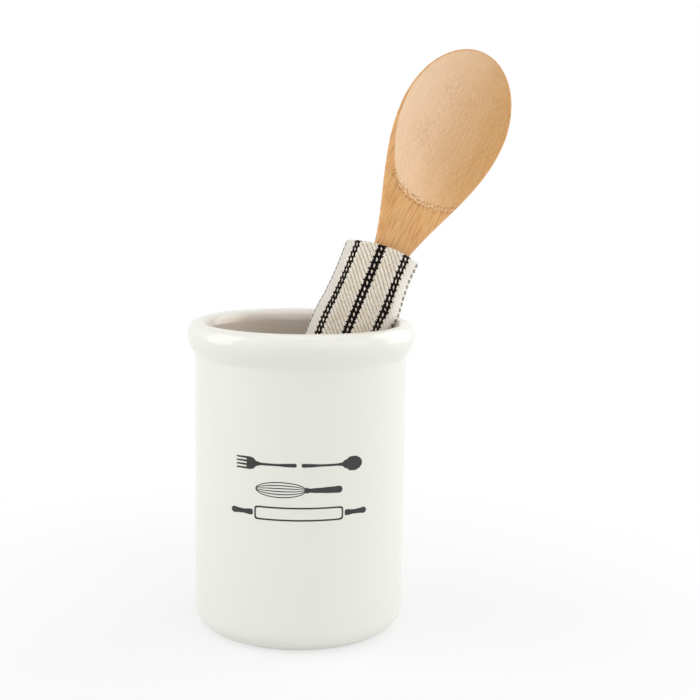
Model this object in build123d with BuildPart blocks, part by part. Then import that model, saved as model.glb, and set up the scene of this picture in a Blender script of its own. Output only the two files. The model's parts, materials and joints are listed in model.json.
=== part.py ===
"""Utensil crock: a glazed stoneware jar that holds a wooden spoon in a loose cloth sleeve.

Millimetres. The crock stands on z = 0 and its axis is Z. The utensil leans to +X and a little to +Y,
and the flat side of the sleeve faces -Y.
"""

import os
from math import atan, cos, hypot, pi, radians, sin, sqrt, tan

from build123d import *

# Crock
crock_height = 174.0
body_radius = 59.25
wall_thickness = 7.75
floor_thickness = 8.0
base_round = 12.0
inner_round = 10.0

# Rolled rim of the crock
rim_overhang = 4.25
rim_crest_inset = 5.5
rim_shoulder = 7.0
rim_under_round = 13.6
rim_slant = 27.5
rim_cove_round = 4.0

# Cloth sleeve
sleeve_width = 43.0
sleeve_depth = 25.0
cloth_thickness = 1.2
sleeve_above_rim = 45.0
sleeve_lean_right = 22.05
sleeve_lean_back = 8.5
sleeve_turn = -16.5
sleeve_bearing = 24.5
lap_width = 10.0

# Thread in the sleeve's seam
thread_width = 0.8
thread_height = 0.5
stitch_length = 3.0
stitch_pitch = 4.5
stitch_end_margin = 4.0
thread_gap = 0.05

# Wooden spoon
spoon_length = 343.0
bowl_width = 67.1
bowl_tip_to_widest = 43.7
bowl_back_depth = 12.0
bowl_front_depth = 1.2
neck_end = 146.0
neck_crown = 100.0
handle_width = 16.0
handle_end_width = 15.0
handle_front_depth = 4.8
handle_back_depth = 4.5
handle_end_chamfer = 1.5
hollow_depth = 8.0
hollow_margin = 1.2
hollow_end = 93.0
hollow_tilt = 5.0
spoon_turn = 18.0
spoon_right_at_mouth = 4.85
spoon_right_at_foot = -8.65
spoon_back_at_mouth = 0.0
spoon_back_at_foot = 2.6

# Clearance between a leaning piece and what it leans on or stands on
seat_gap = 0.35

# Sampling of curved outlines
outline_steps = 96
neck_outline_steps = 32
bisection_steps = 40
bowl_steps = 12
neck_steps = 12
handle_steps = 2

# Angles of arcs
quarter_turn = 90
half_turn = 180

# Sizes that follow from those above
inner_radius = body_radius - wall_thickness
rim_radius = body_radius + rim_overhang
crest_radius = rim_radius - rim_crest_inset
rim_widest_height = crock_height - rim_shoulder
lip_run = crest_radius - inner_radius
corner_radius_line = inner_radius - inner_round
corner_height_line = floor_thickness + inner_round


def cavity_gap(point):
    """Distance from a point inside the crock to its floor, its rounded corner or its wall."""
    across = max(hypot(point.X, point.Y) - corner_radius_line, 0.0)
    down = max(corner_height_line - point.Z, 0.0)
    return inner_round - hypot(across, down)


def turned_angles(count):
    """Angles at even steps round a full turn."""
    return [2 * pi * step / count for step in range(count)]


def travel_until_seated(plane, outline, gap_at):
    """How far points placed on a plane can go against its normal before one of them is seated."""
    near, far = 0.0, 2 * crock_height
    for _ in range(bisection_steps):
        middle = (near + far) / 2
        face = plane.offset(-middle)
        gap = min(gap_at(face.from_local_coords(point)) for point in outline)
        if gap > seat_gap:
            near = middle
        else:
            far = middle
    return near


def leaning_plane(origin, direction, turn):
    """A plane square to a leaning axis, its X to the right and its Y to the back, turned about the axis."""
    level = Vector(1, 0, -direction.X / direction.Z)
    return Plane(origin=origin, x_dir=level.rotate(Axis((0, 0, 0), direction), turn), z_dir=direction)


# Sleeve outline, its middle on the sleeve's axis
side_radius = sleeve_depth / 2
flat_half = sleeve_width / 2 - side_radius
sleeve_outline = []
for angle in turned_angles(outline_steps):
    side = 1 if cos(angle) >= 0 else -1
    across = side * flat_half + side_radius * cos(angle)
    sleeve_outline.append(Vector(across, side_radius * sin(angle), 0))
for side in (-1, 1):
    sleeve_outline.append(Vector(side * lap_width / 2, side_radius + cloth_thickness, 0))

# The sleeve touches the rim where the lip's curve is as steep as the sleeve leans
sleeve_axis = Vector(tan(radians(sleeve_lean_right)), tan(radians(sleeve_lean_back)), 1).normalized()
bearing = Vector(cos(radians(sleeve_bearing)), sin(radians(sleeve_bearing)), 0)
lean_slope = sleeve_axis.dot(bearing) / sleeve_axis.Z
lip_angle = atan(lean_slope * rim_shoulder / lip_run)
contact_height = rim_widest_height + rim_shoulder * sin(lip_angle)
contact_radius = crest_radius - lip_run * cos(lip_angle) - seat_gap

# Level cut through the sleeve, which gives how far its axis lies from the crock's axis
trial_plane = leaning_plane((0, 0, 0), sleeve_axis, sleeve_turn)
seat_distance = body_radius
for point in sleeve_outline:
    corner = trial_plane.from_local_coords(point)
    level_point = corner - sleeve_axis * (corner.Z / sleeve_axis.Z)
    along = level_point.dot(bearing)
    reach = sqrt(contact_radius**2 - level_point.length**2 + along**2) - along
    seat_distance = min(seat_distance, reach)
rim_point = bearing * seat_distance + Vector(0, 0, contact_height)

rim_plane = leaning_plane(rim_point, sleeve_axis, sleeve_turn)
sleeve_below_rim = travel_until_seated(rim_plane, sleeve_outline, cavity_gap)
sleeve_length = sleeve_above_rim + sleeve_below_rim
sleeve_foot_plane = rim_plane.offset(-sleeve_below_rim)
sleeve_mouth_plane = rim_plane.offset(sleeve_above_rim)

# Spoon axis, from a point in the sleeve's lower end to one in its mouth
low_offset = Vector(spoon_right_at_foot, spoon_back_at_foot, 0)
mouth_offset = Vector(spoon_right_at_mouth, spoon_back_at_mouth, 0)
spoon_low = sleeve_foot_plane.from_local_coords(low_offset)
spoon_high = sleeve_mouth_plane.from_local_coords(mouth_offset)
spoon_axis = (spoon_high - spoon_low).normalized()
spoon_mouth_plane = leaning_plane(spoon_high, spoon_axis, spoon_turn)


def blend(distance, start, end):
    """0 before start, 1 past end and a smooth wave between them."""
    share = min(max((distance - start) / (end - start), 0.0), 1.0)
    return sin(share * pi / 2) ** 2


def bowl_share(distance):
    """Half ellipse from the tip to the widest line: 0 at the tip, 1 from the widest line on."""
    rest = max(bowl_tip_to_widest - distance, 0.0) / bowl_tip_to_widest
    return sqrt(1 - rest**2)


def spoon_width(distance):
    if distance < bowl_tip_to_widest:
        return bowl_width * bowl_share(distance)
    handle_share = max(distance - neck_end, 0.0) / (spoon_length - neck_end)
    neck_share = blend(distance, bowl_tip_to_widest, neck_end)
    taper = (handle_width - handle_end_width) * handle_share
    return bowl_width + (handle_width - bowl_width) * neck_share - taper


def back_depth(distance):
    if distance < bowl_tip_to_widest:
        return bowl_back_depth * bowl_share(distance)
    neck_share = blend(distance, bowl_tip_to_widest, neck_end)
    return bowl_back_depth + (handle_back_depth - bowl_back_depth) * neck_share


def front_depth(distance):
    rise = (handle_front_depth - bowl_front_depth) * blend(distance, bowl_tip_to_widest, neck_crown)
    return bowl_front_depth * bowl_share(distance) + rise


def spoon_ring(distance, count):
    """Points round the spoon at a distance from its tip, placed from its end."""
    ring = []
    for angle in turned_angles(count):
        depth = back_depth(distance) if sin(angle) > 0 else front_depth(distance)
        across = spoon_width(distance) / 2 * cos(angle)
        ring.append(Vector(across, depth * sin(angle), spoon_length - distance))
    return ring


def sleeve_gap(point):
    """Distance from a point inside the sleeve to its cloth, which ends at the mouth."""
    place = sleeve_mouth_plane.to_local_coords(point)
    if place.Z > 0:
        return crock_height
    return side_radius - cloth_thickness - hypot(max(abs(place.X) - flat_half, 0.0), place.Y)


# Stations of the spoon's sections, measured from its tip and closer together where it is rounder
spoon_stations = []
for step in range(1, bowl_steps + 1):
    spoon_stations.append(bowl_tip_to_widest * (1 - cos(pi / 2 * step / bowl_steps)))
for step in range(1, neck_steps + 1):
    spoon_stations.append(bowl_tip_to_widest + (neck_end - bowl_tip_to_widest) * step / neck_steps)
for step in range(1, handle_steps + 1):
    spoon_stations.append(neck_end + (spoon_length - neck_end) * step / handle_steps)

# The spoon goes down until its end meets the crock's floor or corner, or its neck the sleeve's mouth
end_outline = spoon_ring(spoon_length, outline_steps)
neck_outline = []
for distance in spoon_stations[:bowl_steps + neck_steps]:
    neck_outline.extend(spoon_ring(distance, neck_outline_steps))
end_travel = travel_until_seated(spoon_mouth_plane, end_outline, cavity_gap)
neck_travel = travel_until_seated(spoon_mouth_plane, neck_outline, sleeve_gap)
spoon_end_plane = spoon_mouth_plane.offset(-min(end_travel, neck_travel))
spoon_tip_plane = spoon_end_plane.offset(spoon_length)


# Crock body, one fired piece turned about Z
slant_tangent = tan(radians(rim_slant))
bead_end_radius = rim_radius - rim_under_round * (1 - cos(radians(rim_slant)))
bead_end_height = rim_widest_height - rim_under_round * sin(radians(rim_slant))
slant_foot_height = bead_end_height - (bead_end_radius - body_radius) / slant_tangent
cove_start_height = slant_foot_height - rim_cove_round * tan(radians(rim_slant / 2))

with BuildPart() as crock_body:
    with BuildSketch(Plane.XZ):
        with BuildLine():
            foot_radius = body_radius - base_round
            Polyline((0, floor_thickness), (0, 0), (foot_radius, 0))
            base = CenterArc((foot_radius, base_round), base_round, -quarter_turn, quarter_turn)
            wall = Line(base @ 1, (body_radius, cove_start_height))
            cove = JernArc(wall @ 1, (0, 1), rim_cove_round, -rim_slant)
            bead_centre = (rim_radius - rim_under_round, rim_widest_height)
            under = CenterArc(bead_centre, rim_under_round, -rim_slant, rim_slant)
            Line(cove @ 1, under @ 0)
            crest_centre = (crest_radius, rim_widest_height)
            EllipticalCenterArc(crest_centre, rim_crest_inset, rim_shoulder, arc_size=quarter_turn)
            lip_start = {"start_angle": quarter_turn, "arc_size": quarter_turn}
            lip = EllipticalCenterArc(crest_centre, lip_run, rim_shoulder, **lip_start)
            inner_wall = Line(lip @ 1, (inner_radius, corner_height_line))
            corner_centre = (corner_radius_line, corner_height_line)
            corner = CenterArc(corner_centre, inner_round, -quarter_turn, quarter_turn)
            Line(corner @ 0, (0, floor_thickness))
        make_face()
    revolve(axis=Axis.Z)
crock_body.part.label = "crock_body"


# Cloth sleeve: a tube of woven cloth closed by a lap down its back
with BuildPart() as cloth_sleeve:
    with BuildSketch(sleeve_foot_plane):
        SlotOverall(sleeve_width, sleeve_depth)
        with Locations((0, side_radius)):
            Rectangle(lap_width, 2 * cloth_thickness)
        inside_width = sleeve_width - 2 * cloth_thickness
        SlotOverall(inside_width, sleeve_depth - 2 * cloth_thickness, mode=Mode.SUBTRACT)
    extrude(amount=sleeve_length)
cloth_sleeve.part.label = "cloth_sleeve"


# Stitches down the lap, each a short length of thread
lap_face = side_radius + cloth_thickness + thread_gap
stitch_count = int((sleeve_length - 2 * stitch_end_margin - stitch_length) / stitch_pitch) + 1
lap_plane = Plane(
    origin=sleeve_foot_plane.from_local_coords(Vector(0, lap_face, sleeve_length / 2)),
    x_dir=sleeve_foot_plane.z_dir,
    z_dir=sleeve_foot_plane.y_dir,
)
with BuildPart() as seam_stitches:
    with BuildSketch(lap_plane):
        with GridLocations(stitch_pitch, lap_width / 2, stitch_count, 2):
            SlotOverall(stitch_length, thread_width)
    extrude(amount=thread_height)
seam_stitches.part.label = "seam_stitches"


# Wooden spoon, lofted from tip to end through sections of two half ellipses
with BuildPart() as hollow_cutter:
    Sphere(1)
    scale(by=(bowl_width / 2 - hollow_margin, hollow_depth, (hollow_end - hollow_margin) / 2))

with BuildPart() as wooden_spoon:
    for distance in spoon_stations:
        with BuildSketch(spoon_tip_plane.offset(-distance)):
            with BuildLine():
                half_width = spoon_width(distance) / 2
                back = {"start_angle": 0, "arc_size": half_turn}
                front = {"start_angle": half_turn, "arc_size": half_turn}
                EllipticalCenterArc((0, 0), half_width, back_depth(distance), **back)
                EllipticalCenterArc((0, 0), half_width, front_depth(distance), **front)
            make_face()
    loft(ruled=True)
    hollow_middle = (hollow_end + hollow_margin) / 2
    hollow_plane = spoon_tip_plane.offset(-hollow_middle)
    front_rise = Vector(0, -front_depth(hollow_middle), 0)
    hollow_axis = hollow_plane.z_dir.rotate(Axis((0, 0, 0), hollow_plane.x_dir), hollow_tilt)
    hollow_place = Plane(hollow_plane.from_local_coords(front_rise), hollow_plane.x_dir, hollow_axis)
    with Locations(hollow_place):
        add(hollow_cutter.part, mode=Mode.SUBTRACT)
    chamfer(wooden_spoon.faces().sort_by(Axis.Z)[0].edges(), handle_end_chamfer)
wooden_spoon.part.label = "wooden_spoon"


os.makedirs("parts", exist_ok=True)
for piece in (crock_body, cloth_sleeve, seam_stitches, wooden_spoon):
    export_step(piece.part, f"parts/{piece.part.label}.step")

print("sleeve length", sleeve_length, "axis", sleeve_axis, "touches the rim near", rim_point)
print("spoon axis", spoon_axis, "end", spoon_end_plane.origin, "tip", spoon_tip_plane.origin)
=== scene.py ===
import json
import math

import bmesh
import bpy
from mathutils import Matrix, Vector, noise


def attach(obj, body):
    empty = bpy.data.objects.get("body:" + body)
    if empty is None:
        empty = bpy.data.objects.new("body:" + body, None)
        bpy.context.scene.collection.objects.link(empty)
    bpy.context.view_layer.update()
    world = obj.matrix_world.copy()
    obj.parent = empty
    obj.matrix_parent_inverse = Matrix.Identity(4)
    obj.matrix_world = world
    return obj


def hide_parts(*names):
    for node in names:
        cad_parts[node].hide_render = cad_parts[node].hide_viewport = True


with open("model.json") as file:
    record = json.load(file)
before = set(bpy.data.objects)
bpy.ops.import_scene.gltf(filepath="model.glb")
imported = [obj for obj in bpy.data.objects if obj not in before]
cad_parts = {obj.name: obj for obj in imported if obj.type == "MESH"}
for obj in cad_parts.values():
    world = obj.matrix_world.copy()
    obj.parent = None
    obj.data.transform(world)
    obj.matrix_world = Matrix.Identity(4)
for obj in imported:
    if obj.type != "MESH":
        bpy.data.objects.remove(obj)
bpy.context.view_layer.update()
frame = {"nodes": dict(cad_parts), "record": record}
record = frame["record"]

quarter = math.pi / 2  # of a turn
half = math.pi
full = 2 * math.pi
millimetre = 0.001


# Small tools that several pieces share

def blend(value, start, end):
    # Share of the way from start to end, eased at both
    share = min(max((value - start) / (end - start), 0.0), 1.0)
    return math.sin(share * quarter) ** 2


def arcPoints(centre, radii, start, sweep, steps):
    points = []
    for step in range(steps + 1):
        angle = start + sweep * step / steps
        points.append((centre[0] + radii[0] * math.cos(angle), centre[1] + radii[1] * math.sin(angle)))
    return points


def linePoints(start, end, steps):
    # The points between two ends, without the ends
    points = []
    for step in range(1, steps):
        share = step / steps
        points.append(tuple(a + (b - a) * share for a, b in zip(start, end)))
    return points


def chain(bm, points):
    # A row of vertices joined by edges
    verts = [bm.verts.new(point) for point in points]
    edges = [bm.edges.new(pair) for pair in zip(verts, verts[1:])]
    return verts, edges


def edgesOf(verts):
    return list(dict.fromkeys(edge for vert in verts for edge in vert.link_edges))


def makePiece(name, bm, finish):
    mesh = bpy.data.meshes.new(name)
    bm.to_mesh(mesh)
    bm.free()
    mesh.materials.append(finish)
    mesh.shade_smooth()
    piece = bpy.data.objects.new(name, mesh)
    bpy.context.scene.collection.objects.link(piece)
    return piece


def jointAxis(name):
    for joint in record["behaviour"]["joints"]:
        if joint["name"] == name:
            return Vector(joint["axis"]).normalized()


def leaningFrame(node, axis, turn):
    # The matrix from leaning axes (right, back, up the lean) to the world's, and the node's corners
    # along the leaning axes
    level = Vector((1, 0, -axis.x / axis.z)).normalized()
    right = Matrix.Rotation(turn, 3, axis) @ level
    toLeaning = Matrix((right, axis.cross(right), axis))
    places = [toLeaning @ vert.co for vert in frame["nodes"][node].data.vertices]
    low = Vector([min(place[i] for place in places) for i in range(3)])
    high = Vector([max(place[i] for place in places) for i in range(3)])
    return toLeaning.transposed(), low, high


# Shader maths: a socket that takes part in sums, and a finish that makes nodes

class Shade:
    def __init__(self, finish, socket):
        self.finish = finish
        self.socket = socket

    def __add__(self, other):
        return self.finish.maths("ADD", self, other)

    def __radd__(self, other):
        return self.finish.maths("ADD", other, self)

    def __sub__(self, other):
        return self.finish.maths("SUBTRACT", self, other)

    def __rsub__(self, other):
        return self.finish.maths("SUBTRACT", other, self)

    def __mul__(self, other):
        return self.finish.maths("MULTIPLY", self, other)

    def __rmul__(self, other):
        return self.finish.maths("MULTIPLY", other, self)

    def __truediv__(self, other):
        return self.finish.maths("DIVIDE", self, other)

    def __lt__(self, other):
        return self.finish.maths("LESS_THAN", self, other)

    def __gt__(self, other):
        return self.finish.maths("GREATER_THAN", self, other)

    def __abs__(self):
        return self.finish.maths("ABSOLUTE", self)


class Finish:
    def __init__(self, owner):
        owner.use_nodes = True
        self.tree = owner.node_tree
        self.tree.nodes.clear()

    def add(self, kind, sockets=None, output=0, **settings):
        node = self.tree.nodes.new("ShaderNode" + kind)
        for name, value in settings.items():
            setattr(node, name, value)
        for name, value in (sockets or {}).items():
            socket = node.inputs[name]
            if isinstance(value, Shade):
                self.tree.links.new(value.socket, socket)
            elif socket.type == "RGBA":
                socket.default_value = (*value, 1.0)
            else:
                socket.default_value = value
        return Shade(self, node.outputs[output]) if node.outputs else None

    def maths(self, operation, *values):
        return self.add("Math", dict(enumerate(values)), operation=operation)

    def mix(self, share, first, second):
        # Inputs 6 and 7 and output 2 are the node's colour ones
        return self.add("Mix", {0: share, 6: first, 7: second}, 2, data_type="RGBA")

    def smooth(self, value, low, high):
        span = {"Value": value, "From Min": low, "From Max": high}
        return self.add("MapRange", span, interpolation_type="SMOOTHSTEP")

    def fade(self, value, low, high):
        return 1 - self.smooth(value, low, high)

    def place(self):
        return self.add("TexCoord", output="Object")

    def stored(self, name):
        return self.add("Attribute", output="Vector", attribute_name=name)

    def split(self, vector):
        return [self.add("SeparateXYZ", {0: vector}, i) for i in range(3)]

    def joined(self, x, y, z):
        return self.add("CombineXYZ", {"X": x, "Y": y, "Z": z})

    def total(self, weights, **shades):
        # Shades times their weights, on top of the base
        result = weights.get("base", 0.0)
        for name, shade in shades.items():
            result = result + shade * weights[name]
        return result

    def noise(self, vector, scale, detail, roughness=0.5):
        sockets = {"Vector": vector, "Scale": scale, "Detail": detail, "Roughness": roughness}
        return self.add("TexNoise", sockets)

    def specks(self, across, along):
        # Distance from the nearest of scattered points on a sheet
        sheet = self.joined(across, along, 0.0)
        return self.add("TexVoronoi", {"Vector": sheet, "Scale": 1.0}, voronoi_dimensions="2D")

    def bump(self, height, strength, distance, normal=None):
        sockets = {"Height": height, "Strength": strength, "Distance": distance}
        if normal:
            sockets["Normal"] = normal
        return self.add("Bump", sockets)

    def surface(self, colour, roughness, normal, refraction):
        sockets = {"Base Color": colour, "Roughness": roughness, "Normal": normal, "IOR": refraction}
        self.show(self.add("BsdfPrincipled", sockets))

    def show(self, shader):
        self.add("OutputMaterial", {"Surface": shader})


# The camera, which sees the object as in the photograph

view = {
    "place": (0.02738, -0.7437, 0.2685),
    "pitch": math.radians(81.52),
    "roll": math.radians(0.873),
    "lens": 68.91,
    "sensor": 36.0,
}


def makeCamera():
    camera = bpy.data.cameras.new("camera")
    camera.lens = view["lens"]
    camera.sensor_width = view["sensor"]
    viewer = bpy.data.objects.new("camera", camera)
    turned = Matrix.Rotation(view["pitch"], 4, "X") @ Matrix.Rotation(view["roll"], 4, "Z")
    viewer.matrix_world = Matrix.Translation(view["place"]) @ turned
    bpy.context.scene.collection.objects.link(viewer)
    bpy.context.scene.camera = viewer


makeCamera()
print("camera placed")


# Crock: one glazed piece, turned about Z

crock = {
    "height": 0.174,
    "bodyRadius": 0.05925,
    "wall": 0.00775,
    "floor": 0.008,
    "baseRound": 0.012,
    "innerRound": 0.010,
    "rimOverhang": 0.00425,
    "crestInset": 0.0055,
    "rimShoulder": 0.007,
    "underRound": 0.0136,
    "slant": math.radians(27.5),
    "coveRound": 0.004,
    "turnSteps": 192,
    "arcSteps": 14,
    "wallSteps": 24,
    "weld": 1e-6,
    "glaze": (0.795, 0.803, 0.750),
    "thinGlaze": (0.76, 0.74, 0.68),
    # Painted shade: the inside's colour is the glaze painted darker and warmer, for the shade and the
    # warm light from the wood that fall inside the crock
    "insideShadeColour": (0.64, 0.57, 0.485),
    "clay": (0.62, 0.55, 0.45),
    "insideShadeFade": (0.0065, 0.002),  # inwards from the crest
    "crestFade": 0.0035,
    "clayFade": (0.0002, 0.0012),
    # Noises as (scale, detail), bumps as (strength, distance), and weights in a sum
    "cloudNoise": (22.0, 3.0),
    "gritNoise": (900.0, 3.0),
    "waveNoise": (30.0, 1.0),
    "peelNoise": (420.0, 1.0),
    "waveBump": (0.6, 0.0006),
    "gritBump": (0.5, 0.0002),
    "thinness": {"ridge": 0.6, "cloud": 0.15},
    "clayShare": {"base": 0.8, "grit": 0.2},
    "unevenness": {"wave": 0.9, "peel": 0.012},
    "roughness": {"base": 0.11, "cloud": 0.05, "clay": 0.55},
    "refraction": 1.5,
}


def crockProfile():
    # From the base's middle up the outside, over the rim and down the inside to the floor's middle
    bodyRadius, wallSteps, arcSteps = crock["bodyRadius"], crock["wallSteps"], crock["arcSteps"]
    baseRound, innerRound, shoulder = crock["baseRound"], crock["innerRound"], crock["rimShoulder"]
    slant, under, cove = crock["slant"], crock["underRound"], crock["coveRound"]
    footRadius = bodyRadius - baseRound
    innerRadius = bodyRadius - crock["wall"]
    rimRadius = bodyRadius + crock["rimOverhang"]
    crestRadius = rimRadius - crock["crestInset"]
    widestHeight = crock["height"] - shoulder
    crestCentre = (crestRadius, widestHeight)
    cornerCentre = (innerRadius - innerRound, crock["floor"] + innerRound)
    beadCentre = (rimRadius - under, widestHeight)
    beadFoot = (beadCentre[0] + under * math.cos(slant), beadCentre[1] - under * math.sin(slant))
    slantFoot = beadFoot[1] - (beadFoot[0] - bodyRadius) / math.tan(slant)
    coveCentre = (bodyRadius + cove, slantFoot - cove * math.tan(slant / 2))
    base = arcPoints((footRadius, baseRound), (baseRound, baseRound), -quarter, quarter, arcSteps)
    hollow = arcPoints(coveCentre, (cove, cove), half, -slant, arcSteps // 2)
    bead = arcPoints(beadCentre, (under, under), -slant, slant, arcSteps // 2)
    crest = arcPoints(crestCentre, (crock["crestInset"], shoulder), 0, quarter, arcSteps)
    lip = arcPoints(crestCentre, (crestRadius - innerRadius, shoulder), quarter, quarter, arcSteps)
    corner = arcPoints(cornerCentre, (innerRound, innerRound), 0, -quarter, arcSteps)
    points = [(0.0, 0.0), (footRadius / 2, 0.0)] + base
    points += linePoints(base[-1], hollow[0], wallSteps)
    points += hollow + bead + crest[1:] + lip[1:]
    points += linePoints(lip[-1], corner[0], wallSteps)
    points += corner + [(cornerCentre[0] / 2, crock["floor"]), (0.0, crock["floor"])]
    return points


def glazeFinish():
    material = bpy.data.materials.new("crockGlaze")
    finish = Finish(material)
    place = finish.place()
    x, y, z = finish.split(place)
    radius = finish.maths("SQRT", x * x + y * y)
    crest = crock["bodyRadius"] + crock["rimOverhang"] - crock["crestInset"]
    deep, shallow = crock["insideShadeFade"]
    # Painted shade: below the crest the inside is painted darker and warmer
    inside = finish.fade(radius, crest - deep, crest - shallow) * (z > crock["floor"] / 2)
    ridge = finish.smooth(z, crock["height"] - crock["crestFade"], crock["height"])
    clay = finish.fade(z, *crock["clayFade"]) * (1 - inside)
    cloud = finish.noise(place, *crock["cloudNoise"])
    grit = finish.noise(place, *crock["gritNoise"])
    wave = finish.noise(place, *crock["waveNoise"])
    peel = finish.noise(place, *crock["peelNoise"])
    thinness = finish.total(crock["thinness"], ridge=ridge, cloud=cloud)
    outside = finish.mix(thinness, crock["glaze"], crock["thinGlaze"])
    withInsideShade = finish.mix(inside, outside, crock["insideShadeColour"])
    colour = finish.mix(clay * finish.total(crock["clayShare"], grit=grit), withInsideShade, crock["clay"])
    rough = finish.total(crock["roughness"], cloud=cloud, clay=clay)
    surface = finish.bump(finish.total(crock["unevenness"], wave=wave, peel=peel), *crock["waveBump"])
    surface = finish.bump(grit * clay, *crock["gritBump"], surface)
    finish.surface(colour, rough, surface, crock["refraction"])
    return material


def makeCrock():
    bm = bmesh.new()
    verts, edges = chain(bm, [(radius, 0.0, height) for radius, height in crockProfile()])
    bmesh.ops.spin(
        bm, geom=verts + edges, cent=(0, 0, 0), axis=(0, 0, 1), angle=full,
        steps=crock["turnSteps"], use_merge=True,
    )
    bmesh.ops.remove_doubles(bm, verts=bm.verts, dist=crock["weld"])
    bmesh.ops.recalc_face_normals(bm, faces=bm.faces)
    piece = makePiece("glazedCrock", bm, glazeFinish())
    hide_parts("crock_body")
    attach(piece, "crock")


makeCrock()
print("crock made")


# Ornament fired on the crock's front: three rows of kitchen tools, flat shapes bent round the wall

ornament = {
    "rowHeights": (0.1048, 0.0914, 0.0784),
    "centre": 0.0287,  # turn from the front, in radians
    "relief": 0.00006,
    "sunk": 0.0004,
    "step": 0.0006,
    "easedSteps": 3,  # a stretch of more steps than this is curved
    "leastHalf": 0.01,  # half height of a pointed end, in millimetres
    "gap": 0.0024,
    "tineRises": (-0.00285, -0.00095, 0.00095, 0.00285),
    "wireHalfLength": 0.0138,
    "wireHalfHeights": (0.0043, 0.002666, 0.001075),
    "wireStroke": 0.00055,
    "wireSteps": 72,
    "pinLength": 0.077,
    "pinStroke": 0.0009,
    "weld": 1e-6,
    "sharpAngle": math.radians(40),
    "ink": (0.022, 0.020, 0.020),
    "wornInk": (0.10, 0.095, 0.09),
    "wornSpan": (0.62, 0.8),
    "wornShare": 0.25,
    "fleckNoise": (1500.0, 2.0),
    "fleckBump": (0.3, 0.00005),
    "roughness": {"base": 0.3, "fleck": 0.15},
    "refraction": 1.5,
}

# Half outlines of the tools along their length, in millimetres: (distance, half height)
toolShapes = {
    "spoon": ((0, 0), (0.25, 1.3), (1.6, 2.9), (4.2, 3.9), (7.2, 3.8), (10, 2.3), (12.4, 0.9), (15, 0.62),
              (23, 0.62), (30, 0.95), (33.2, 1.05), (33.9, 0.7), (34.1, 0)),
    "forkHead": ((6.4, 3.3), (8.0, 3.45), (10.0, 3.1), (12.4, 1.3), (15, 0.68), (23, 0.62), (30, 0.95),
                 (33.2, 1.05), (33.9, 0.7), (34.1, 0)),
    "tine": ((0, 0), (0.2, 0.3), (0.9, 0.45), (6.8, 0.55)),
    "whiskGrip": ((26.5, 0), (26.7, 1.3), (28.0, 1.5), (29.4, 1.1), (33, 1.35), (41, 1.7), (45.6, 1.9),
                  (46.8, 1.3), (47.2, 0)),
    "pinBody": ((14.3, 0), (14.4, 2.9), (15.3, 3.6), (17, 3.75), (60.0, 3.75), (61.7, 3.6), (62.6, 2.9),
                (62.7, 0)),
    "pinHandle": ((0, 0), (0.3, 1.1), (1.8, 1.75), (4.4, 1.35), (8.0, 1.2), (12.0, 1.6), (13.2, 1.5),
                  (13.5, 0)),
}


def finerOutline(outline, eased):
    # The outline with points added at an even step
    points = []
    for (a, halfA), (b, halfB) in zip(outline, outline[1:]):
        steps = max(1, round((b - a) * millimetre / ornament["step"]))
        for step in range(steps):
            share = step / steps
            rise = blend(share, 0.0, 1.0) if eased and steps > ornament["easedSteps"] else share
            points.append((a + (b - a) * share, halfA + (halfB - halfA) * rise))
    return points + [outline[-1]]


def shapedStrip(bm, outline, start, row, side=1):
    # A flat shape from its half outline: the upper edge and its mirror are bridged
    points = finerOutline(outline, eased=True)
    sizes = [(side * a * millimetre, max(h, ornament["leastHalf"]) * millimetre) for a, h in points]
    upper = chain(bm, [(start + a, 0.0, row + h) for a, h in sizes])[1]
    lower = chain(bm, [(start + a, 0.0, row - h) for a, h in sizes])[1]
    bmesh.ops.bridge_loops(bm, edges=upper + lower)


def drawnBand(bm, outline, start, row):
    # A closed band inside a shape's outline: two rings are bridged
    halfLength = (outline[-1][0] - outline[0][0]) * millimetre / 2
    halfHeight = max(h for _, h in outline) * millimetre
    middle = start + outline[0][0] * millimetre + halfLength
    points = finerOutline(outline, eased=False)
    sizes = [(start + a * millimetre - middle, h * millimetre) for a, h in points]
    rings = []
    for inset in (0.0, ornament["pinStroke"]):
        wide, tall = 1 - inset / halfLength, 1 - inset / halfHeight
        upper = [(middle + a * wide, h * tall) for a, h in sizes]
        lower = [(x, -h) for x, h in reversed(upper[1:-1])]
        verts, edges = chain(bm, [(x, 0.0, row + h) for x, h in upper + lower])
        rings += edges + [bm.edges.new((verts[-1], verts[0]))]
    bmesh.ops.bridge_loops(bm, edges=rings)


def wireLoop(bm, centre, row, halfHeight):
    # One wire of the whisk: an oval ring
    stand = Matrix.Translation((centre, 0.0, row)) @ Matrix.Rotation(quarter, 4, "X")
    rings = []
    for inset in (0.0, ornament["wireStroke"]):
        verts = bmesh.ops.create_circle(bm, segments=ornament["wireSteps"], radius=1.0)["verts"]
        size = Matrix.Diagonal((ornament["wireHalfLength"] - inset, halfHeight - inset, 1.0, 1.0))
        bmesh.ops.transform(bm, matrix=stand @ size, verts=verts)
        rings += edgesOf(verts)
    bmesh.ops.bridge_loops(bm, edges=rings)


def printFinish():
    material = bpy.data.materials.new("firedInk")
    finish = Finish(material)
    fleck = finish.noise(finish.place(), *ornament["fleckNoise"])
    worn = finish.smooth(fleck, *ornament["wornSpan"]) * ornament["wornShare"]
    colour = finish.mix(worn, ornament["ink"], ornament["wornInk"])
    rough = finish.total(ornament["roughness"], fleck=fleck)
    finish.surface(colour, rough, finish.bump(fleck, *ornament["fleckBump"]), ornament["refraction"])
    return material


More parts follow.
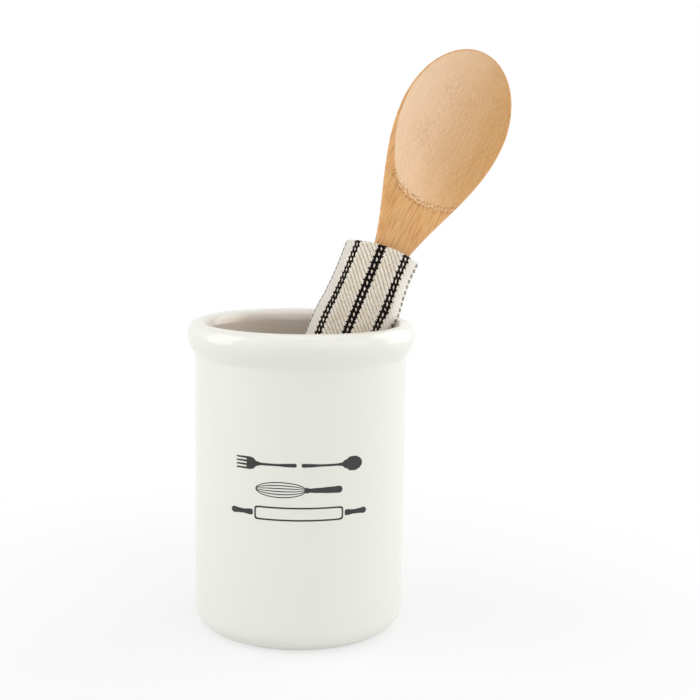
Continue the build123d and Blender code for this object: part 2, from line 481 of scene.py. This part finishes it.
def makeOrnament():
    bm = bmesh.new()
    top, middle, bottom = ornament["rowHeights"]
    gap = ornament["gap"] / 2
    # Top row: a fork and a spoon, handle to handle
    length = toolShapes["spoon"][-1][0] * millimetre
    shapedStrip(bm, toolShapes["spoon"], gap + length, top, side=-1)
    shapedStrip(bm, toolShapes["forkHead"], -gap - length, top)
    for rise in ornament["tineRises"]:
        shapedStrip(bm, toolShapes["tine"], -gap - length, top + rise)
    # Middle row: a whisk
    length = toolShapes["whiskGrip"][-1][0] * millimetre
    for halfHeight in ornament["wireHalfHeights"]:
        wireLoop(bm, ornament["wireHalfLength"] - length / 2, middle, halfHeight)
    shapedStrip(bm, toolShapes["whiskGrip"], -length / 2, middle)
    # Bottom row: a rolling pin
    length = ornament["pinLength"]
    drawnBand(bm, toolShapes["pinBody"], -length / 2, bottom)
    shapedStrip(bm, toolShapes["pinHandle"], -length / 2, bottom)
    shapedStrip(bm, toolShapes["pinHandle"], length / 2, bottom, side=-1)
    bmesh.ops.remove_doubles(bm, verts=bm.verts, dist=ornament["weld"])
    made = bmesh.ops.extrude_face_region(bm, geom=bm.faces[:])["geom"]
    raised = [item for item in made if isinstance(item, bmesh.types.BMVert)]
    bmesh.ops.translate(bm, vec=(0, -(ornament["relief"] + ornament["sunk"]), 0), verts=raised)
    bmesh.ops.recalc_face_normals(bm, faces=bm.faces)
    for vert in bm.verts:  # bend the flat rows round the wall
        radius = crock["bodyRadius"] - ornament["sunk"] - vert.co.y
        angle = ornament["centre"] + vert.co.x / crock["bodyRadius"]
        vert.co = (radius * math.sin(angle), -radius * math.cos(angle), vert.co.z)
    piece = makePiece("firedOrnament", bm, printFinish())
    piece.data.set_sharp_from_angle(angle=ornament["sharpAngle"])
    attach(piece, "crock")


makeOrnament()
print("ornament made")


# Wooden spoon: rings of points from the bowl's tip to the handle's end, with the bowl carved in

spoon = {
    "length": 0.343,
    "bowlWidth": 0.0671,
    "tipToWidest": 0.0437,
    "bowlBack": 0.012,
    "bowlFront": 0.0012,
    "neckEnd": 0.146,
    "neckCrown": 0.100,
    "handleWidth": 0.016,
    "endWidth": 0.015,
    "handleFront": 0.0048,
    "handleBack": 0.0045,
    "endRound": 0.0015,
    "turn": math.radians(18.0),
    # The carved hollow, with distances from the tip
    "hollowDepth": 0.0078,
    "hollowDeepening": 0.002,
    "hollowDeepest": 0.075,
    "hollowFullness": 0.85,
    "hollowClosing": 6,
    "hollowEnd": 0.0921,
    "hollowEndBow": 0.0042,
    "hollowEndMiddle": 0.0018,
    "hollowEndHalf": 0.018,
    "edgeMargin": 0.0005,
    "edgeReach": 0.0022,
    "edgeFade": (0.078, 0.088),
    "drift": 0.0029,
    "driftStart": 0.030,
    "driftEnd": 0.087,
    "driftPower": 2.5,
    "leastReach": 1e-6,
    # Mesh
    "ringSteps": 160,
    "tipSteps": 44,
    "bowlStep": 0.0007,
    "handleSteps": 40,
    "endSteps": 6,
    "weld": 2e-6,
    # Wood, with grains as (size across, through and along, detail, roughness)
    # Carved wood as lit and shaded copies: painted light on the pale one, painted shade on the deep one
    "litCarved": (0.85, 0.61, 0.405),
    "shadedCarved": (0.585, 0.30, 0.088),
    "skinPale": (0.76, 0.435, 0.182),
    "skinDeep": (0.58, 0.275, 0.085),
    "pore": (0.38, 0.175, 0.045),
    "streakGrain": ((0.0009, 0.0009, 0.030), 3.0, 0.62),
    "fineGrain": ((0.00035, 0.00035, 0.012), 1.0, 0.5),
    "broadGrain": ((0.007, 0.007, 0.11), 2.0, 0.5),
    "thinGrain": ((0.0008, 0.002, 0.013), 1.0, 0.5),
    "swayNoise": (22.0, 1.0),
    "sway": 2.2,
    "streakSpan": (0.32, 0.68),
    "thinSpan": (0.50, 0.60),
    "carvedSpan": (0.01, 0.06),
    # Painted shade across the hollow, from its lit left to its shaded right
    "toneSpan": (-0.030, 0.034),  # places across
    # Marks of the carving, with sizes (across, along), places across and distances from the tip
    "dashSize": (0.00125, 0.0038),
    "dashSway": 0.12,
    "dashStart": (0.008, 0.024),
    "dashEnd": (0.055, 0.078),
    "dashLeft": (-0.026, -0.012),
    "dashSpan": (0.18, 0.42),
    # Painted highlights (glints) beside the dashes and dots
    "glintShift": (0.46, 0.05),
    "glintSpan": (0.12, 0.36),
    "lowGlints": 0.5,
    "dotSize": (0.0013, 0.0017),
    "dotStart": (0.046, 0.066),
    "dotSpan": (0.12, 0.38),
    "edgeDotSpan": (0.24, 0.46),
    "edgeSpan": (0.10, 0.5),
    "lipHighlightSpan": (0.90, 0.985),
    "patchNoise": (120.0, 2.0),
    "patchSpan": (0.30, 0.52),
    "darkestMark": 0.8,
    # Weights in a sum
    "skinDark": {"base": -0.30, "streak": 0.45, "thin": 0.65, "fine": 0.3, "broad": 0.3},
    # Painted shade across the hollow, mixed with the grain
    "cutShadeAndGrain": {"base": -0.12, "tone": 0.85, "streak": 0.12, "broad": 0.25},
    "marks": {"dashes": 0.24, "dots": 0.20, "edgeDots": 0.68},
    # Weights of the painted highlights
    "pale": {"glints": 0.24, "lip": 0.60},
    "relief": {"streak": 0.25, "fine": 0.25, "marks": -1.0},
    "roughness": {"base": 0.42, "streak": 0.10, "marks": 0.3},
    "grainBump": (0.7, 0.00022),
    "refraction": 1.45,
}


def bowlShare(distance):
    rest = max(spoon["tipToWidest"] - distance, 0.0) / spoon["tipToWidest"]
    return math.sqrt(1 - rest * rest)


def spoonHalfWidth(distance):
    if distance < spoon["tipToWidest"]:
        return spoon["bowlWidth"] / 2 * bowlShare(distance)
    neck = blend(distance, spoon["tipToWidest"], spoon["neckEnd"])
    taper = max(distance - spoon["neckEnd"], 0.0) / (spoon["length"] - spoon["neckEnd"])
    width = spoon["bowlWidth"] + (spoon["handleWidth"] - spoon["bowlWidth"]) * neck
    return (width - (spoon["handleWidth"] - spoon["endWidth"]) * taper) / 2


def spoonBack(distance):
    neck = blend(distance, spoon["tipToWidest"], spoon["neckEnd"])
    return spoon["bowlBack"] * bowlShare(distance) + (spoon["handleBack"] - spoon["bowlBack"]) * neck


def spoonFront(distance):
    crown = blend(distance, spoon["tipToWidest"], spoon["neckCrown"])
    return spoon["bowlFront"] * bowlShare(distance) + (spoon["handleFront"] - spoon["bowlFront"]) * crown


def spoonSection(distance):
    # Half width, back and front, drawn in at the handle's rounded end
    rest = max(distance - (spoon["length"] - spoon["endRound"]), 0.0) / spoon["endRound"]
    inset = spoon["endRound"] * (1 - math.sqrt(max(1 - rest * rest, 0.0)))
    return [size(distance) - inset for size in (spoonHalfWidth, spoonBack, spoonFront)]


def hollowAt(across, distance, halfWidth):
    # Depth carved below the front surface, and how near the hollow's lower edge is
    span = spoon["driftEnd"] - spoon["driftStart"]
    drift = spoon["drift"] * (max(distance - spoon["driftStart"], 0.0) / span) ** spoon["driftPower"]
    reach = halfWidth - spoon["edgeMargin"] - drift
    bow = (across - spoon["hollowEndMiddle"]) / spoon["hollowEndHalf"]
    end = spoon["hollowEnd"] - spoon["hollowEndBow"] * bow * bow
    side = (across - drift) / max(reach, spoon["leastReach"])
    gap = max(distance - end, (abs(side) - 1) * reach)
    near = math.exp(-(gap / spoon["edgeReach"]) ** 2) * blend(distance, *spoon["edgeFade"])
    if reach <= 0.0 or distance >= end or abs(side) >= 1.0:
        return 0.0, near
    deepening = blend(distance, spoon["tipToWidest"], spoon["hollowDeepest"])
    dish = ((1 - side * side) * bowlShare(distance) ** 2) ** spoon["hollowFullness"]
    closing = 1 - (distance / end) ** spoon["hollowClosing"]
    return (spoon["hollowDepth"] + spoon["hollowDeepening"] * deepening) * dish * closing, near


def spoonStations():
    # Distances from the tip, closer together where the shape turns faster
    widest, crown, length = spoon["tipToWidest"], spoon["neckCrown"], spoon["length"]
    tipSteps, handleSteps, endSteps = spoon["tipSteps"], spoon["handleSteps"], spoon["endSteps"]
    bowlSteps = round((crown - widest) / spoon["bowlStep"])
    straight = length - spoon["endRound"] - crown
    stations = [widest * (1 - math.cos(quarter * step / tipSteps)) for step in range(tipSteps)]
    stations += [widest + (crown - widest) * step / bowlSteps for step in range(bowlSteps)]
    stations += [crown + straight * step / handleSteps for step in range(handleSteps)]
    for step in range(endSteps + 1):
        stations.append(length - spoon["endRound"] * (1 - math.sin(quarter * step / endSteps)))
    return stations + [length]


def woodFinish():
    material = bpy.data.materials.new("spoonWood")
    finish = Finish(material)
    grain = finish.stored("grain")
    x, y, z = finish.split(grain)
    depth, edge, _ = finish.split(finish.stored("carve"))
    carved = finish.smooth(depth, *spoon["carvedSpan"])
    sway = finish.noise(grain, *spoon["swayNoise"]) * spoon["sway"]

    def fibres(kind, bend):
        (across, through, along), detail, uneven = spoon[kind]
        return finish.noise(finish.joined(x / across + bend, y / through, z / along), 1.0, detail, uneven)

    def marksAt(size, bend=0.0, shift=(0.0, 0.0)):
        across, along = spoon[size]
        return finish.specks(x / across + bend + shift[0], z / along + shift[1])

    streak = finish.smooth(fibres("streakGrain", sway), *spoon["streakSpan"])
    fine = fibres("fineGrain", sway)
    broad = fibres("broadGrain", 0.0)
    thin = finish.smooth(fibres("thinGrain", sway), *spoon["thinSpan"])
    # Cut fibres show as short dashes in the bowl's middle and as dots near its lower edge, each with a
    # painted highlight (a glint) on one side
    sprung = sway * spoon["dashSway"]
    dash = marksAt("dashSize", sprung)
    lit = marksAt("dashSize", sprung, spoon["glintShift"])
    dot = marksAt("dotSize")
    patchy = finish.smooth(finish.noise(grain, *spoon["patchNoise"]), *spoon["patchSpan"]) * carved
    middle = finish.smooth(z, *spoon["dashStart"]) * finish.fade(z, *spoon["dashEnd"])
    middle = middle * finish.smooth(x, *spoon["dashLeft"])
    low = finish.smooth(z, *spoon["dotStart"])
    dashes = finish.fade(dash, *spoon["dashSpan"]) * middle * patchy
    glints = finish.fade(lit, *spoon["glintSpan"]) * (middle + low * spoon["lowGlints"]) * patchy
    dots = finish.fade(dot, *spoon["dotSpan"]) * low * patchy
    edgeDots = finish.fade(dot, *spoon["edgeDotSpan"]) * finish.smooth(edge, *spoon["edgeSpan"])
    # Painted highlight: a pale line along the hollow's edge
    lip = finish.smooth(edge, *spoon["lipHighlightSpan"])
    marks = finish.total(spoon["marks"], dashes=dashes, dots=dots, edgeDots=edgeDots)
    marks = finish.maths("MINIMUM", marks, spoon["darkestMark"])
    # Painted shade: the carved wood is painted darker from left to right, as light falls on the hollow;
    # the skin is darker and streaked
    tone = finish.smooth(x, *spoon["toneSpan"])
    skinDark = finish.total(spoon["skinDark"], streak=streak, thin=thin, fine=fine, broad=broad)
    cutShadeAndGrain = finish.total(spoon["cutShadeAndGrain"], tone=tone, streak=streak, broad=broad)
    skin = finish.mix(skinDark, spoon["skinPale"], spoon["skinDeep"])
    cut = finish.mix(cutShadeAndGrain, spoon["litCarved"], spoon["shadedCarved"])
    wood = finish.mix(carved, skin, cut)
    # Painted highlights: the glints and the edge's line lift the wood towards its lit colour
    highlighted = finish.mix(finish.total(spoon["pale"], glints=glints, lip=lip), wood, spoon["litCarved"])
    colour = finish.mix(marks, highlighted, spoon["pore"])
    rough = finish.total(spoon["roughness"], streak=streak, marks=marks)
    relief = finish.total(spoon["relief"], streak=streak * (1 - carved), fine=fine, marks=marks)
    finish.surface(colour, rough, finish.bump(relief, *spoon["grainBump"]), spoon["refraction"])
    return material


def makeSpoon():
    axis = jointAxis("spoon_pull")
    toWorld, low, high = leaningFrame("wooden_spoon", axis, spoon["turn"])
    middle = Vector(((low.x + high.x) / 2, high.y - spoon["bowlBack"], high.z))
    stations = spoonStations()
    count = len(stations) - 1
    bm = bmesh.new()
    grainLayer = bm.verts.layers.float_vector.new("grain")
    carveLayer = bm.verts.layers.float_vector.new("carve")
    bmesh.ops.create_grid(bm, x_segments=spoon["ringSteps"], y_segments=count, size=0.5)
    for vert in bm.verts:
        angle = (vert.co.x + 0.5) * full
        index = round((vert.co.y + 0.5) * count)
        distance = stations[index]
        halfWidth, back, front = spoonSection(distance) if index < count else (0.0, 0.0, 0.0)
        across = halfWidth * math.cos(angle)
        deep, near = 0.0, 0.0
        if math.sin(angle) >= 0:
            depth = back * math.sin(angle)
        else:
            depth = front * math.sin(angle)
            deep, near = hollowAt(across, distance, halfWidth)
        vert[grainLayer] = (across, depth + deep, distance)
        vert[carveLayer] = (deep / spoon["hollowDepth"], near, 0.0)
        vert.co = toWorld @ (middle + Vector((across, depth + deep, -distance)))
    bmesh.ops.remove_doubles(bm, verts=bm.verts, dist=spoon["weld"])
    bmesh.ops.recalc_face_normals(bm, faces=bm.faces)
    piece = makePiece("woodenSpoon", bm, woodFinish())
    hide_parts("wooden_spoon")
    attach(piece, "spoon")


makeSpoon()
print("spoon made")


# Cloth sleeve: one strip of twill rolled into a flattened tube, its edges lapped and sewn at the back

sleeve = {
    "width": 0.043,
    "depth": 0.025,
    "cloth": 0.0012,
    "lap": 0.010,
    "lapStep": 0.004,
    "lapLift": 1.02,  # in cloth thicknesses
    "aroundSteps": 200,
    "alongSteps": 110,
    "turn": math.radians(-16.5),
    # How the tube sags, and how its mouth and sides ease, with places across and heights from its foot
    "sag": 0.0007,
    "sagFade": (0.012, 0.019),
    "dentScale": (38.0, 14.0),
    "dentLayer": 1.7,
    "mouthReach": 0.03,
    "topBow": 0.0030,
    "tilt": 0.11,
    "tiltLeast": -0.0012,
    "leftReach": (0.004, 0.017),
    "rightReach": (0.0135, 0.0205),
    "leftEase": ((0.115, 0.0), (0.155, -0.0011), (0.160, -0.0008), (0.170, 0.0003), (0.180, 0.0008),
                 (0.190, 0.0008), (0.203, 0.0005)),
    "rightEase": ((0.146, 0.0), (0.162, 0.0009), (0.166, 0.0013), (0.171, 0.0026), (0.176, 0.0021),
                  (0.182, 0.0013), (0.190, 0.0006), (0.203, 0.0012)),
    "wallShare": 0.96,
    "softEdge": 0.0003,
    "softSteps": 2,
    "softAngle": math.radians(60),
    # Stripes, with places across from the front's middle
    "stripePitch": 0.0145,
    "stripeShift": 0.0024,
    "leftEdge": (-0.0215, -0.0155),
    "rightEdge": (0.0195, 0.0255),
    "edgeShift": (0.0038, 0.0050),
    "wideEvery": 3.0,
    "narrowHalf": 0.00186,
    "wideHalf": 0.00262,
    "stripeWander": 0.0011,
    "outerSpan": (0.88, 1.06),
    "chainPitch": 0.00305,
    "chainLean": -0.30,
    "chainWander": {"slow": 0.3, "wander": 0.08},
    "nick": 0.20,
    "nickSpan": (0.04, 0.24),
    "lozenge": (0.23, 0.40),  # shares of the half width and of a link
    "lozengeWander": 0.5,
    "lozengeSpan": (0.86, 1.06),
    "foldStart": (0.0205, 0.0225),
    "foldEnd": (0.031, 0.033),
    "foldDash": (0.22, 0.36),
    # Plain cloth: twill lines a metre, loose threads, margins and blotches
    "twill": (380.0, 352.0),
    "waleWander": 0.3,
    "ridgeSpan": (0.2, 0.85),
    "floatSize": (0.00062, 0.0021),
    "floatLean": (0.906, 0.423),
    "floatSpan": (0.15, 0.62),
    # Plain margins: painted shade on the left one, painted light on the right one
    "leftMargin": (-0.0152, -0.0134),
    "leftShadedShare": 0.72,
    "rightMargin": (0.0185, 0.0205),
    "rightLitShare": 0.66,
    "besideEnd": 0.0042,
    "besideShare": 0.22,
    "slowShare": 0.3,
    "fuzzSpan": (0.3, 0.7),
    "blotchSpan": (0.46, 0.70),
    "blotchShare": 0.6,
    "wanderNoise": (1000.0, 2.0),
    "slowNoise": (45.0, 2.0),
    "fuzzNoise": (2400.0, 1.0),
    "blotchNoise": (190.0, 2.0),
    "cream": (0.88, 0.82, 0.71),
    "creamShade": (0.38, 0.32, 0.235),
    # White is plain cloth beside the stripes and painted light on the right margin; shaded white is
    # painted shade on the left margin
    "white": (0.90, 0.88, 0.83),
    "shadedWhite": (0.71, 0.69, 0.645),
    "blotch": (0.80, 0.69, 0.53),
    "black": (0.006, 0.003, 0.003),
    "lightness": {"base": -0.10, "ridge": 0.66, "thread": 0.32, "fuzz": 0.30},
    "relief": {"ridge": 0.6, "thread": 0.4, "dark": 0.35},
    "threadBump": (0.55, 0.00022),
    "roughness": 0.9,
    "refraction": 1.2,
}
sleeve["flatHalf"] = (sleeve["width"] - sleeve["depth"]) / 2
sleeve["bend"] = sleeve["depth"] / 2 - sleeve["cloth"] / 2
sleeve["girth"] = 4 * sleeve["flatHalf"] + full * sleeve["bend"]
sleeve["cut"] = sleeve["girth"] + sleeve["lap"]
sleeve["frontMiddle"] = sleeve["lap"] / 2 + 2 * sleeve["flatHalf"] + half * sleeve["bend"]


def sleeveSection(along):
    # Place and outward direction at a distance along the strip, from its inner edge to its outer one
    flatHalf, bend = sleeve["flatHalf"], sleeve["bend"]
    back, curve = sleeve["lap"] / 2 + flatHalf, half * bend
    if along <= back:
        return Vector((sleeve["lap"] / 2 - along, bend)), Vector((0, 1))
    along -= back
    if along <= curve:
        angle = quarter + along / bend
        out = Vector((math.cos(angle), math.sin(angle)))
        return Vector((-flatHalf, 0)) + out * bend, out
    along -= curve
    if along <= 2 * flatHalf:
        return Vector((along - flatHalf, -bend)), Vector((0, -1))
    along -= 2 * flatHalf
    if along <= curve:
        angle = -quarter + along / bend
        out = Vector((math.cos(angle), math.sin(angle)))
        return Vector((flatHalf, 0)) + out * bend, out
    along -= curve
    lift = sleeve["cloth"] * sleeve["lapLift"] * blend(along, 0.0, sleeve["lapStep"])
    return Vector((flatHalf - along, bend + lift)), Vector((0, 1))


def easeAt(table, height):
    # Value of a table of (height, value) pairs, joined smoothly
    value = table[0][1]
    for (low, first), (high, second) in zip(table, table[1:]):
        if height >= low:
            value = first + (second - first) * blend(height, low, high)
    return value


def easedPlace(place, height, length):
    # The strip's place and height with the mouth bowed and tilted and the sides eased past the rim
    side = "left" if place.x < 0 else "right"
    ease = easeAt(sleeve[side + "Ease"], height) * blend(abs(place.x), *sleeve[side + "Reach"])
    front = blend(-place.y, 0.0, sleeve["bend"])
    bow = sleeve["topBow"] * front * (1 - (place.x / (sleeve["width"] / 2)) ** 2)
    rise = max(place.x * sleeve["tilt"], sleeve["tiltLeast"])
    lifted = height + (bow + rise) * blend(height, length - sleeve["mouthReach"], length)
    return Vector((place.x + ease, place.y, lifted))


def twillStripes(finish, across, v, wander, slow):
    # How dark the stripes are, and the distance from a stripe's middle. They stand at an even pitch,
    # and each is a chain of leaning links with a pale lozenge in it.
    leftShift, rightShift = sleeve["edgeShift"]
    shift = finish.smooth(across, *sleeve["rightEdge"]) * rightShift
    shift = shift - finish.fade(across, *sleeve["leftEdge"]) * leftShift
    count = (across + shift - sleeve["stripeShift"]) / sleeve["stripePitch"] + 0.5
    index = finish.maths("FLOOR", count)
    offset = (count - index - 0.5) * sleeve["stripePitch"] + wander * sleeve["stripeWander"]
    wide = finish.maths("MODULO", abs(index), sleeve["wideEvery"]) < 0.5
    halfWidth = sleeve["narrowHalf"] + (sleeve["wideHalf"] - sleeve["narrowHalf"]) * wide
    uneven = finish.total(sleeve["chainWander"], slow=slow, wander=wander)
    link = finish.maths("FRACT", v / sleeve["chainPitch"] + uneven) - 0.5
    leaning = abs(offset - link * (sleeve["chainLean"] * sleeve["chainPitch"]))
    nicks = 1 - finish.fade(abs(link), *sleeve["nickSpan"]) * sleeve["nick"]  # links' middles are narrow
    outer = finish.fade(leaning / (halfWidth * nicks), *sleeve["outerSpan"])
    openWide, openLong = sleeve["lozenge"]
    shaken = abs(link + wander * sleeve["lozengeWander"])
    lozenge = finish.smooth(leaning / (halfWidth * openWide) + shaken / openLong, *sleeve["lozengeSpan"])
    aside = abs(across)
    folded = finish.smooth(aside, *sleeve["foldStart"]) * finish.fade(aside, *sleeve["foldEnd"])
    worn = 1 - folded * finish.smooth(abs(link), *sleeve["foldDash"])  # stripes on the folds are dashes
    return outer * lozenge * worn, leaning


def twillFinish():
    material = bpy.data.materials.new("stripedTwill")
    finish = Finish(material)
    cut = finish.add("UVMap", uv_map="cut")
    u, v, _ = finish.split(cut)
    across = u - sleeve["frontMiddle"]
    wander = finish.noise(cut, *sleeve["wanderNoise"]) - 0.5
    slow = finish.noise(cut, *sleeve["slowNoise"]) - 0.5
    dark, leaning = twillStripes(finish, across, v, wander, slow)
    # Twill lines fall to the right, and threads lie steeper than the lines
    linesAcross, linesAlong = sleeve["twill"]
    wale = finish.maths("FRACT", u * linesAcross + v * linesAlong + wander * sleeve["waleWander"])
    ridge = finish.maths("SINE", wale * half)
    level, steep = sleeve["floatLean"]
    wide, long = sleeve["floatSize"]
    floats = finish.specks((u * level + v * steep) / wide, (v * level - u * steep) / long)
    thread = finish.fade(floats, *sleeve["floatSpan"])
    top = finish.smooth(ridge, *sleeve["ridgeSpan"])
    fuzz = finish.smooth(finish.noise(cut, *sleeve["fuzzNoise"]), *sleeve["fuzzSpan"])
    lightness = finish.total(sleeve["lightness"], ridge=top, thread=thread, fuzz=fuzz)
    blotch = finish.smooth(finish.noise(cut, *sleeve["blotchNoise"]), *sleeve["blotchSpan"])
    warm = finish.mix(blotch * sleeve["blotchShare"], sleeve["cream"], sleeve["blotch"])
    cream = finish.mix(lightness, sleeve["creamShade"], warm)
    # Cloth beside a stripe is plainer; both margins are plain, the right one with painted light and the
    # left one with painted shade where the tube's sides turn away
    beside = finish.fade(leaning, sleeve["wideHalf"], sleeve["besideEnd"]) * sleeve["besideShare"]
    right = finish.smooth(across, *sleeve["rightMargin"]) * sleeve["rightLitShare"]
    left = finish.fade(across, *sleeve["leftMargin"]) * sleeve["leftShadedShare"]
    pale = finish.maths("MAXIMUM", right, beside) + slow * sleeve["slowShare"]
    plain = finish.mix(left, finish.mix(pale, cream, sleeve["white"]), sleeve["shadedWhite"])
    colour = finish.mix(dark, plain, sleeve["black"])
    relief = finish.total(sleeve["relief"], ridge=ridge, thread=thread, dark=dark)
    surface = finish.bump(relief, *sleeve["threadBump"])
    finish.surface(colour, sleeve["roughness"], surface, sleeve["refraction"])
    return material


def makeSleeve():
    axis = jointAxis("sleeve_lift")
    toWorld, low, high = leaningFrame("cloth_sleeve", axis, sleeve["turn"])
    foot = Vector(((low.x + high.x) / 2, low.y + sleeve["depth"] / 2, low.z))
    length = high.z - low.z
    bm = bmesh.new()
    cutLayer = bm.loops.layers.uv.new("cut")
    bmesh.ops.create_grid(bm, x_segments=sleeve["aroundSteps"], y_segments=sleeve["alongSteps"], size=0.5)
    for face in bm.faces:
        for loop in face.loops:
            spot = loop.vert.co
            loop[cutLayer].uv = ((spot.x + 0.5) * sleeve["cut"], (spot.y + 0.5) * length)
    dentAcross, dentAlong = sleeve["dentScale"]
    for vert in bm.verts:
        along = (vert.co.x + 0.5) * sleeve["cut"]
        height = (vert.co.y + 0.5) * length
        place, out = sleeveSection(along)
        dent = noise.noise(Vector((along * dentAcross, height * dentAlong, sleeve["dentLayer"])))
        sag = sleeve["sag"] * (0.5 + 0.5 * dent) * (1 - blend(abs(place.x), *sleeve["sagFade"]))
        vert.co = toWorld @ (foot + easedPlace(place - out * sag, height, length))
    bmesh.ops.recalc_face_normals(bm, faces=bm.faces)
    piece = makePiece("stripedSleeve", bm, twillFinish())
    wall = piece.modifiers.new("cloth", "SOLIDIFY")
    wall.thickness = sleeve["cloth"] * sleeve["wallShare"]
    wall.offset = 0.0
    wall.use_quality_normals = True
    soft = piece.modifiers.new("edges", "BEVEL")
    soft.width = sleeve["softEdge"]
    soft.segments = sleeve["softSteps"]
    soft.limit_method = "ANGLE"
    soft.angle_limit = sleeve["softAngle"]
    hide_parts("cloth_sleeve")
    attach(piece, "sleeve")
    return piece, toWorld, foot, length


# Seam thread: two rows of stitches, each a short arc of thread over the lap

stitch = {
    "length": 0.0030,
    "rise": 0.00042,
    "pitch": 0.0045,
    "endMargin": 0.004,
    "thread": 0.00034,
    "proud": 0.00015,
    "rows": (-0.0025, 0.0025),
    "sides": 8,
    "bends": 7,
    "twistNoise": (3500.0, 2.0),
    "twistBump": (0.5, 0.00008),
    "deepCream": (0.60, 0.54, 0.44),
    "paleCream": (0.84, 0.80, 0.72),
    "roughness": 0.75,
    "refraction": 1.4,
}


def threadFinish():
    material = bpy.data.materials.new("creamThread")
    finish = Finish(material)
    twist = finish.noise(finish.place(), *stitch["twistNoise"])
    colour = finish.mix(twist, stitch["deepCream"], stitch["paleCream"])
    surface = finish.bump(twist, *stitch["twistBump"])
    finish.surface(colour, stitch["roughness"], surface, stitch["refraction"])
    return material


def makeStitches(toWorld, foot, length):
    bm = bmesh.new()
    arc = (stitch["length"] ** 2 / 4 + stitch["rise"] ** 2) / (2 * stitch["rise"])
    reach = math.asin(stitch["length"] / 2 / arc)
    depth = sleeve["depth"] / 2 + sleeve["cloth"] + stitch["rise"] + stitch["proud"] - arc
    room = length - 2 * stitch["endMargin"] - stitch["length"]
    count = int(room / stitch["pitch"]) + 1
    first = length / 2 - stitch["pitch"] * (count - 1) / 2
    start = Matrix.Rotation(-reach, 4, "X") @ Matrix.Translation((0, arc, 0))
    for row in stitch["rows"]:
        for index in range(count):
            older = set(bm.verts)
            ring = bmesh.ops.create_circle(
                bm, segments=stitch["sides"], radius=stitch["thread"], cap_ends=True,
            )
            verts = ring["verts"]
            bmesh.ops.transform(bm, matrix=start, verts=verts)
            bmesh.ops.spin(
                bm, geom=verts + edgesOf(verts) + list(verts[0].link_faces), cent=(0, 0, 0),
                axis=(1, 0, 0), angle=2 * reach, steps=stitch["bends"],
            )
            grown = [vert for vert in bm.verts if vert not in older]
            centre = Vector((row, depth, first + stitch["pitch"] * index))
            place = toWorld.to_4x4() @ Matrix.Translation(foot + centre)
            bmesh.ops.transform(bm, matrix=place, verts=grown)
    bmesh.ops.recalc_face_normals(bm, faces=bm.faces)
    piece = makePiece("seamThread", bm, threadFinish())
    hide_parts("seam_stitches")
    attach(piece, "sleeve")
    return piece


stripedSleeve, sleeveToWorld, sleeveFoot, sleeveLength = makeSleeve()
seamThread = makeStitches(sleeveToWorld, sleeveFoot, sleeveLength)
print("sleeve made")


# Stage: a pale floor, soft lamps and a white surround

stage = {
    "floorSize": 12.0,
    "floorCells": 8,
    "floorColour": (0.80, 0.80, 0.80),
    "floorGlow": 0.70,
    "shadowReach": (0.10, 0.34),
    "white": (1.0, 1.0, 1.0),
    "surround": 0.455,
    "lamps": (
        # name, place, size, power, colour
        ("leftSoftbox", (-1.05, -0.12, 0.50), (0.72, 1.15), 6.3, (1.0, 0.995, 0.98)),
        ("rightSoftbox", (0.92, 0.50, 0.50), (1.0, 1.25), 6.8, (1.0, 0.99, 0.97)),
        ("rightFill", (0.72, -0.95, 0.55), (1.7, 1.3), 7.0, (1.0, 0.99, 0.97)),
        ("leftFill", (-0.70, -0.95, 0.55), (1.2, 1.2), 1.0, (1.0, 1.0, 0.99)),
        ("topSoftbox", (0.0, -0.15, 1.35), (1.1, 0.9), 3.6, (1.0, 1.0, 1.0)),
    ),
    "aim": (0.01, 0.0, 0.12),
}


def makeFloor():
    bm = bmesh.new()
    cells = stage["floorCells"]
    bmesh.ops.create_grid(bm, x_segments=cells, y_segments=cells, size=stage["floorSize"] / 2)
    material = bpy.data.materials.new("paleFloor")
    finish = Finish(material)
    camera, glossy = [finish.add("LightPath", output=name) for name in ("Is Camera Ray", "Is Glossy Ray")]
    seen = finish.maths("MAXIMUM", camera, glossy)
    away = finish.add("VectorMath", {0: finish.place()}, "Value", operation="LENGTH")
    pure = finish.smooth(away, *stage["shadowReach"])  # past the shadow the floor is plain white
    glowing = stage["floorGlow"] + pure * (1 - stage["floorGlow"])
    matt = finish.add("BsdfDiffuse", {"Color": stage["floorColour"]})
    glow = finish.add("Emission", {"Color": stage["white"], "Strength": 1.0})
    finish.show(finish.add("MixShader", {0: seen * glowing, 1: matt, 2: glow}))
    makePiece("floor", bm, material)


def makeLamps():
    for name, place, size, power, colour in stage["lamps"]:
        lamp = bpy.data.lights.new(name, "AREA")
        lamp.shape = "RECTANGLE"
        lamp.size, lamp.size_y = size
        lamp.energy = power
        lamp.color = colour
        holder = bpy.data.objects.new(name, lamp)
        toward = Vector(stage["aim"]) - Vector(place)
        turned = toward.to_track_quat("-Z", "Y").to_matrix().to_4x4()
        holder.matrix_world = Matrix.Translation(place) @ turned
        bpy.context.scene.collection.objects.link(holder)


def makeSurround():
    world = bpy.data.worlds.new("surround")
    bpy.context.scene.world = world
    finish = Finish(world)
    rays = ("Is Camera Ray", "Is Glossy Ray", "Is Transmission Ray")
    camera, glossy, through = [finish.add("LightPath", output=name) for name in rays]
    seen = finish.maths("MAXIMUM", finish.maths("MAXIMUM", camera, glossy), through)
    soft = finish.add("Background", {"Color": stage["white"], "Strength": stage["surround"]})
    bright = finish.add("Background", {"Color": stage["white"], "Strength": 1.0})
    finish.add("OutputWorld", {"Surface": finish.add("MixShader", {0: seen, 1: soft, 2: bright})})


makeFloor()
makeLamps()
makeSurround()
bpy.context.scene.view_settings.view_transform = "Standard"
print("stage made")
